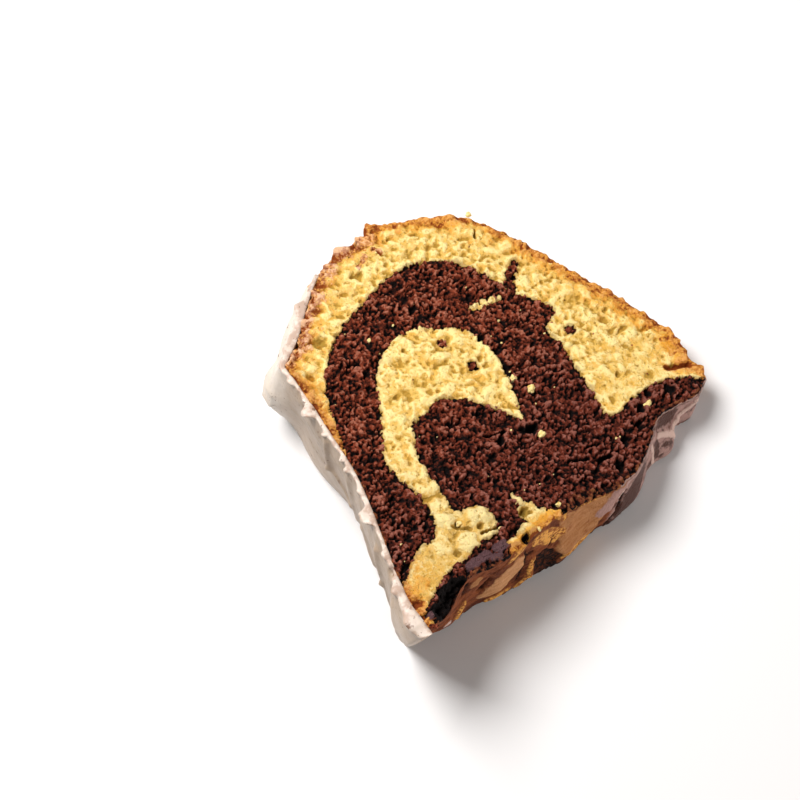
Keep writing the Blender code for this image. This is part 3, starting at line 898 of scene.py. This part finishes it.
def make_cake():
    """The cake's points and faces, and what its material reads at each point."""
    shape = measured_shape()
    moved, looks = dressed_cuts(shape)
    marked, much = base_marks(shape)
    pull, torn = notches(shape.points)
    sideways = side_relief(shape, marked)
    moved[:, :2] += sideways[:, None] * shape.outward[shape.nearest]
    moved += pull[:, None] * NOTCH_WAY

    total = looks["rise"] + sideways
    # Each point's height against its neighbours': the material paints the hollows darker and the tops
    # lighter by it, as painted shade and highlight
    near = (total - smoothed(total, shape.faces, NEAR_ROUNDS)) / NEAR_DEPTH
    far = (total - smoothed(total, shape.faces, FAR_ROUNDS)) / FAR_DEPTH
    uneven = 1 + 0.5 * perlin(shape.points, 5, 16) + 0.5 * perlin(shape.points, 1.8, 19)
    dark, on_side, on_base, along = looks["dark"], shape.on_side, shape.on_base, shape.along
    crust, amber = browning(shape, dark, uneven)
    slanted = along - GREY_SLANT * shape.across - GREY_START
    x, y, _ = shape.points.T
    is_dark = smoothstep(dark, -0.1, 0.1)
    # Painted shade towards the base: strong on the dark crumb, weaker on the light crumb and only to the
    # left; the light crumb by the icing is darkened too
    shade_low = np.where(on_side, 0, 0.75 * is_dark + 0.3 * smoothstep(x, 5, -10) * (1 - is_dark))
    by_icing = (shape.zone == ON_OUTER_WALL) * bump(shape.inside, 4) * (1 - is_dark)
    # These cavity marks are used only as painted shade in holes
    shadowed_cavity = much.pop("shadowed_cavity")
    attributes = {
        "dark": dark,
        "fine": np.clip(0.5 + near + far, -0.5, 1.5),
        "tint": looks["tint"],
        # Painted shade in pores, slots, the base's cavities and the notches
        "hole_shade": np.maximum.reduce([looks["hole_shade"], shadowed_cavity * on_side * on_base, torn]),
        "plum": looks["plum"],
        "crust": crust * (1 - 0.85 * torn),
        "amber": amber,
        "pink": shape.on_crown * smoothstep(along + 3 * uneven, 20, 12),
        "skin": on_base * on_side * smoothstep(shape.below, 0.1, 0.8),
        # Pale line along the base's front edge, partly painted highlight
        "edge": on_base * np.where(on_side, bump(shape.below, 0.3), bump(shape.inside, 0.2)) * (along > 9),
        "far": smoothstep(slanted, -0.8, 0.8) * on_base,
        "shade_darkening": smoothstep(y, 44, 12) * shade_low + 0.45 * by_icing * ~on_side * (y > 10),
    }
    for kind, share in much.items():
        attributes[kind] = share * on_base
    return moved, shape.faces, attributes


ICING_STEP, ICING_ROWS, RIM_CROWDING = 0.4, 70, 1.25
ICING_FLANK_END = 0.62  # the share of the flank that the icing covers
# How thick the icing is at its end, and how much thicker before the last millimetres
ICING_AT_END, MORE_ON_WALL, END_TAPER = 0.6, 0.6, 14
NOSE, NOSE_LENGTH = 5, 1.1  # rows of the rounded nose below the foot, and its length
CAP_ROWS = (0.25, 0.5, 0.75)  # of the broken edge, from the outer face to the inner one
RIM_THINNING = 0.7  # how much thinner the icing is at the shown cut
# The painted shade on the icing lessens over these distances
LESS_SHADED_FROM = (56, 70)  # distances from the foot over which the icing gets whiter
# Thicker places: distance from the foot, half width, added thickness, place across and its
# half width
ICING_LUMPS = (
    (2, 8, 2.1, 0.85, 0.5), (52, 9, 1.9, 0.1, 0.4), (67, 5.5, 3.4, 0.42, 0.34), (77, 7, 1.9, 0.7, 0.5),
)
# Folds of the icing: both ends by distance from the foot and across, half width and height
ICING_FOLDS = (
    (66, 0.45, 90, 0.8, 0.8, 0.8), (66, 0.62, 86, 0.95, 0.7, 0.6), (47, 1, 45, 0.62, 0.8, 0.9),
    (45, 0.62, 36, 0.5, 0.9, 0.6), (38, 1, 34, 0.3, 1.2, 0.4), (30, 0.5, 24, 0.15, 1.2, 0.7),
    (21, 1, 17, 0.55, 0.9, 0.8), (17, 0.55, 12, 0.3, 0.9, 0.6), (9, 1, 3, 0.4, 1.4, 0.5),
)
FOLD_HEIGHT = 25  # the slice's thickness that the folds' places across go by
# Flakes at the rim: distance from the foot, half width, how far they stand out and up
ICING_FLAKES = (
    (3, 2.6, 0.7, 0.5), (10.2, 1.5, 0.8, 0.7), (14, 1.4, -0.7, -1.1), (18, 1.3, 0.7, 0.5),
    (27, 2.6, 2.2, 0.4), (33, 0.9, 0.4, 0.2), (38.5, 1, 0.9, 0.4), (41.2, 0.7, 0.8, 0.2),
    (48, 0.9, 0.8, 0.3), (54, 2, 2, 0.5), (58.6, 1.2, -0.5, -0.3), (62, 1.3, 0.6, 0.5),
    (70, 1.6, 0.5, 0.4), (76, 2, -0.4, -0.3), (81, 1.6, 0.5, 0.4),
)


def icing_route():
    """The wall's points that the icing covers, after those of a rounded nose below the foot,
    over which it thins to nothing."""
    wall, flank = smooth_run(OUTER_WALL, ICING_STEP), smooth_run(FLANK, ICING_STEP)
    run = np.concatenate([wall, flank[: round(len(flank) * ICING_FLANK_END)]])
    steps = np.linalg.norm(np.diff(run, axis=0), axis=1)
    turn = np.linspace(np.pi / 2, 0, NOSE + 1)[:-1]
    down = run[0] - run[1]
    nose = run[0] + np.sin(turn)[:, None] * (down / np.linalg.norm(down)) * NOSE_LENGTH
    out = np.pad(square_to(np.gradient(run, axis=0)), ((NOSE, 0), (0, 0)), "edge")
    return SimpleNamespace(
        run=np.concatenate([nose, run]),
        out=np.column_stack([out, np.zeros(len(out))]),
        distance=np.pad(np.cumsum(steps), (NOSE + 1, 0)),
        shrink=np.pad(np.cos(turn), (0, len(run)), constant_values=1),
    )


def icing_thickness(distance, left, across, foot):
    """left: how much of the icing's length is still to come."""
    level = across * cut_height(foot[:, 0])
    thick = ICING_AT_END + MORE_ON_WALL * np.minimum(1, left / END_TAPER)
    for middle, wide, more, at, spread in ICING_LUMPS:
        thick = thick + more * bump(distance - middle, wide) * bump(across - at, spread)
    for s0, a0, s1, a1, half, rise in ICING_FOLDS:
        ends = (s0, a0 * FOLD_HEIGHT, s1, a1 * FOLD_HEIGHT)
        thick = thick + rise * bump(segment_distance(distance, level, ends), half)
    thick = thick + 0.3 * perlin(foot, 7, 21) + 0.1 * perlin(foot, 2.2, 22)
    return np.maximum(thick, 0.35) * smoothstep(left, -0.5, 3)


def icing_row(route, level):
    """One row of the icing at a place across: its outer and inner points, and how much they
    are broken rim and look thick."""
    across = np.full(len(route.run), level)
    foot = place(*route.run.T, across, 0)
    thick = icing_thickness(route.distance, route.distance[-1] - route.distance, across, foot)
    ragged = bump(1 - level, 0.035)
    stand_out = 0.12 * perlin(foot, 0.9, 23) + 0.3 * perlin(foot, 3.4, 24)
    stand_out = stand_out + 0.25 * perlin(foot, 1.7, 28) - 0.1
    lift = 0.2 + 0.2 * perlin(foot, 1.1, 25) + 0.35 * perlin(foot, 2.6, 26)
    torn = 1 + 0.5 * perlin(foot, 1.3, 29)
    for at, half, sticks, rises in ICING_FLAKES:
        near = smoothstep(np.abs(route.distance - at) + 0.35 * half * (torn - 1), half, half * 0.3)
        stand_out, lift = stand_out + sticks * near * torn, lift + rises * near * torn
    thick = np.maximum(thick - RIM_THINNING * bump(1 - level, 0.12), 0.5)
    thick = (thick + ragged * stand_out) * route.shrink
    outer = foot + route.out * (GAP * route.shrink + np.maximum(thick, 0.05))[:, None]
    outer[:, 2] += lift * ragged
    inner = foot - route.out * 0.15
    inner[:, 2] += lift * ragged * 0.6
    rim = smoothstep(level, 0.984, 1) * (0.75 + 0.5 * perlin(foot, 2.2, 30))
    return outer, inner, rim, smoothstep(thick, 1.2, 3.2)


def icing_faces(count, loops):
    """Faces round the shell, and over its two ends between the outer and inner faces."""
    faces = []
    for row in range(loops):
        faces += bridge(row * count, (row + 1) % loops * count, count)
    across = [(row, row + 1, loops - 2 - row, loops - 1 - row) for row in range(ICING_ROWS)]
    across.append(range(ICING_ROWS, ICING_ROWS + len(CAP_ROWS) + 2))
    for end, way in ((0, -1), (count - 1, 1)):
        faces += [tuple(row * count + end for row in face)[::way] for face in across]
    return faces


def make_icing():
    """The icing's points and faces, and what its material reads at each point."""
    route = icing_route()
    levels = [1 - (1 - row / ICING_ROWS) ** RIM_CROWDING for row in range(ICING_ROWS + 1)]
    outer, inner, rims, thicks = zip(*(icing_row(route, level) for level in levels))
    edges = [outer[-1] * (1 - k) + inner[-1] * k for k in CAP_ROWS]
    for edge in edges:
        edge[:, 2] += 0.3 * perlin(edge, 0.9, 27) + 0.15
    rows = [*outer, *edges, *inner[::-1]]
    ones = [np.ones(len(route.run))] * len(CAP_ROWS)
    attributes = {
        "rim": np.concatenate([*rims, *ones, *rims[::-1]]),
        "thick": np.concatenate([*thicks, *ones, *thicks[::-1]]),
        "less_shaded": np.tile(smoothstep(route.distance, *LESS_SHADED_FROM), len(rows)),
    }
    return np.concatenate(rows), icing_faces(len(route.run), len(rows)), attributes


# Crumbs on the shown cut: place on it and radius
LIGHT_CRUMBS = (
    (18.6, 46.4, 0.5), (22.2, 45, 0.6), (24.3, 44.3, 0.5), (11.3, 28.1, 0.9), (12.4, 23.8, 1),
    (5.7, 14.8, 0.9), (-5.3, 55.1, 0.5), (28.8, 4.4, 0.9), (-4, 1.2, 0.6), (-17, 5.7, 0.4),
    (-22.6, 12, 0.7), (-17, 9.4, 0.6), (-19.6, 12.4, 0.7), (-14.6, 2.4, 0.5), (-11.2, 0.2, 0.6),
    (35.5, 64.2, 0.7),
)
DARK_CRUMBS = (
    (6.1, 44.1, 0.5), (7.2, 36, 0.5), (31, 47, 0.5), (30.2, 28.4, 0.5), (-43, 0.2, 0.6),
    (-42.2, -0.4, 0.5),
)
STRAY_LIGHT, STRAY_DARK, STRAY_SIZE = 36, 30, (0.13, 0.32)
CRUMB_SINK = 0.1  # of its radius, how far a crumb's middle lies above the cut
CRUMB_SQUASH = np.array((1, 0.8, 0.75))


def crumb_piece(name, crumbs, darkness, seed, shift, mat):
    """Crumbs lying on the shown cut, joined in one mesh."""
    made = bmesh.new()
    bmesh.ops.create_icosphere(made, subdivisions=3, radius=1)
    ball = np.array([vert.co for vert in made.verts])
    shell = np.array([[vert.index for vert in face.verts] for face in made.faces])
    made.free()
    points, faces = [], []
    for number, (x, y, radius) in enumerate(crumbs):
        lumpy = 1 + 0.5 * perlin(ball, 0.9, seed + number * 0.37)
        lumpy += 0.3 * perlin(ball, 0.45, seed + number * 0.53)
        middle = (x, y, cut_height(x) + CRUMB_SINK * radius)
        points.append(ball * CRUMB_SQUASH * lumpy[:, None] * radius + middle)
        faces.append(shell + number * len(ball))
    points, faces = np.concatenate(points), np.concatenate(faces)
    rough = 0.9 + 0.5 * perlin(points, 0.5, seed)
    attributes = {"dark": np.full(len(points), darkness), "fine": rough, "tint": rough * (darkness > 0)}
    return new_mesh(name, points + shift, faces.tolist(), attributes, mat)


def stray_crumbs(rng, on_dark, count):
    """Places and sizes of the smallest crumbs, which lie on the other sort of crumb."""
    spots = rng.uniform((-40, 3), (42, 74), (count * 4, 2))
    ring = np.concatenate([smooth_run(knots, 2) for knots in ZONES])
    kept = (distance_to(spots, ring) < -2) & ((dark_depth(spots) > 0.5) == on_dark)
    spots = spots[kept][:count]
    return np.column_stack([spots, rng.uniform(*STRAY_SIZE, len(spots))]).tolist()


def make_crumbs(shift, mat):
    rng = np.random.default_rng(5)
    light = [*LIGHT_CRUMBS, *stray_crumbs(rng, True, STRAY_LIGHT)]
    dark = [*DARK_CRUMBS, *stray_crumbs(rng, False, STRAY_DARK)]
    return [
        crumb_piece("light_crumbs", light, -0.5, 61, shift, mat),
        crumb_piece("dark_crumbs", dark, 0.5, 62, shift, mat),
    ]


CAMERA_AT, CAMERA_AIM, CAMERA_LENS = (-117.4, -99.13, 390.87), (-10.43, 5.8, 20), 85
# Area lamps: name, place in metres, size, power and colour
LAMPS = (
    ("key", (-0.07, 0.28, 0.50), 0.28, 5.0, (1, 0.985, 0.965)),
    ("base fill", (0.25, -0.62, 0.2), 0.3, 3.0, (1, 0.95, 0.9)),
)
WORLD_STRENGTH = 0.14
FLOOR_REACH, FLOOR_COLOUR = 2000, (0.76, 0.75, 0.755, 1)


def aimed(name, data, place_at, aim):
    """A camera or lamp at a place in metres, turned to another."""
    ob = added(name, data)
    ob.location = place_at
    ob.rotation_euler = (aim - ob.location).to_track_quat("-Z", "Y").to_euler()
    return ob


def lights_and_camera():
    scene = bpy.context.scene
    camera = bpy.data.cameras.new("camera")
    camera.lens, camera.sensor_width = CAMERA_LENS, 36
    scene.camera = aimed("camera", camera, Vector(CAMERA_AT) * MM, Vector(CAMERA_AIM) * MM)
    for name, place_at, size, power, colour in LAMPS:
        lamp = bpy.data.lights.new(name, "AREA")
        lamp.size, lamp.energy, lamp.color = size, power, colour
        aimed(name, lamp, place_at, Vector((0, 0, 0)))
    scene.world = bpy.data.worlds.new("studio")
    scene.world.use_nodes = True
    background = scene.world.node_tree.nodes["Background"].inputs
    background["Color"].default_value = (1, 1, 1, 1)
    background["Strength"].default_value = WORLD_STRENGTH
    scene.view_settings.view_transform = "Standard"


def make_floor():
    corners = FLOOR_REACH * np.array([(-1, -1, 0), (1, -1, 0), (1, 1, 0), (-1, 1, 0)])
    return new_mesh("floor", corners, [(0, 1, 2, 3)], {}, Material("floor").finish(FLOOR_COLOUR, 0.7))


def plan_shift():
    """From the part's own plan to the frame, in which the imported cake's box is known."""
    low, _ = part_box("cake_slice")
    lowest = np.full(3, np.inf)
    for number, knots in enumerate(ZONES):
        x, y = smooth_run(knots, CAD_ALONG).T
        for band in range(CAD_BANDS + 1):
            across = np.full(len(x), band / CAD_BANDS)
            lowest = np.minimum(lowest, place(x, y, across, float(number == ON_BASE)).min(0))
    return np.array(low) / MM - lowest


def main():
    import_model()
    shift = plan_shift()
    points, faces, attributes = make_cake()
    crumb = crumb_material()
    cake = new_mesh("cake", points + shift, faces, attributes, crumb)
    points, faces, attributes = make_icing()
    icing = new_mesh("icing_coat", points + shift, faces, attributes, icing_material())
    for piece, node, slot in ((cake, "cake_slice", "sponge"), (icing, "icing", "icing")):
        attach(piece, "root")
        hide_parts(node)
    for piece in make_crumbs(shift, crumb):
        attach(piece, "root")
    make_floor()
    lights_and_camera()


main()
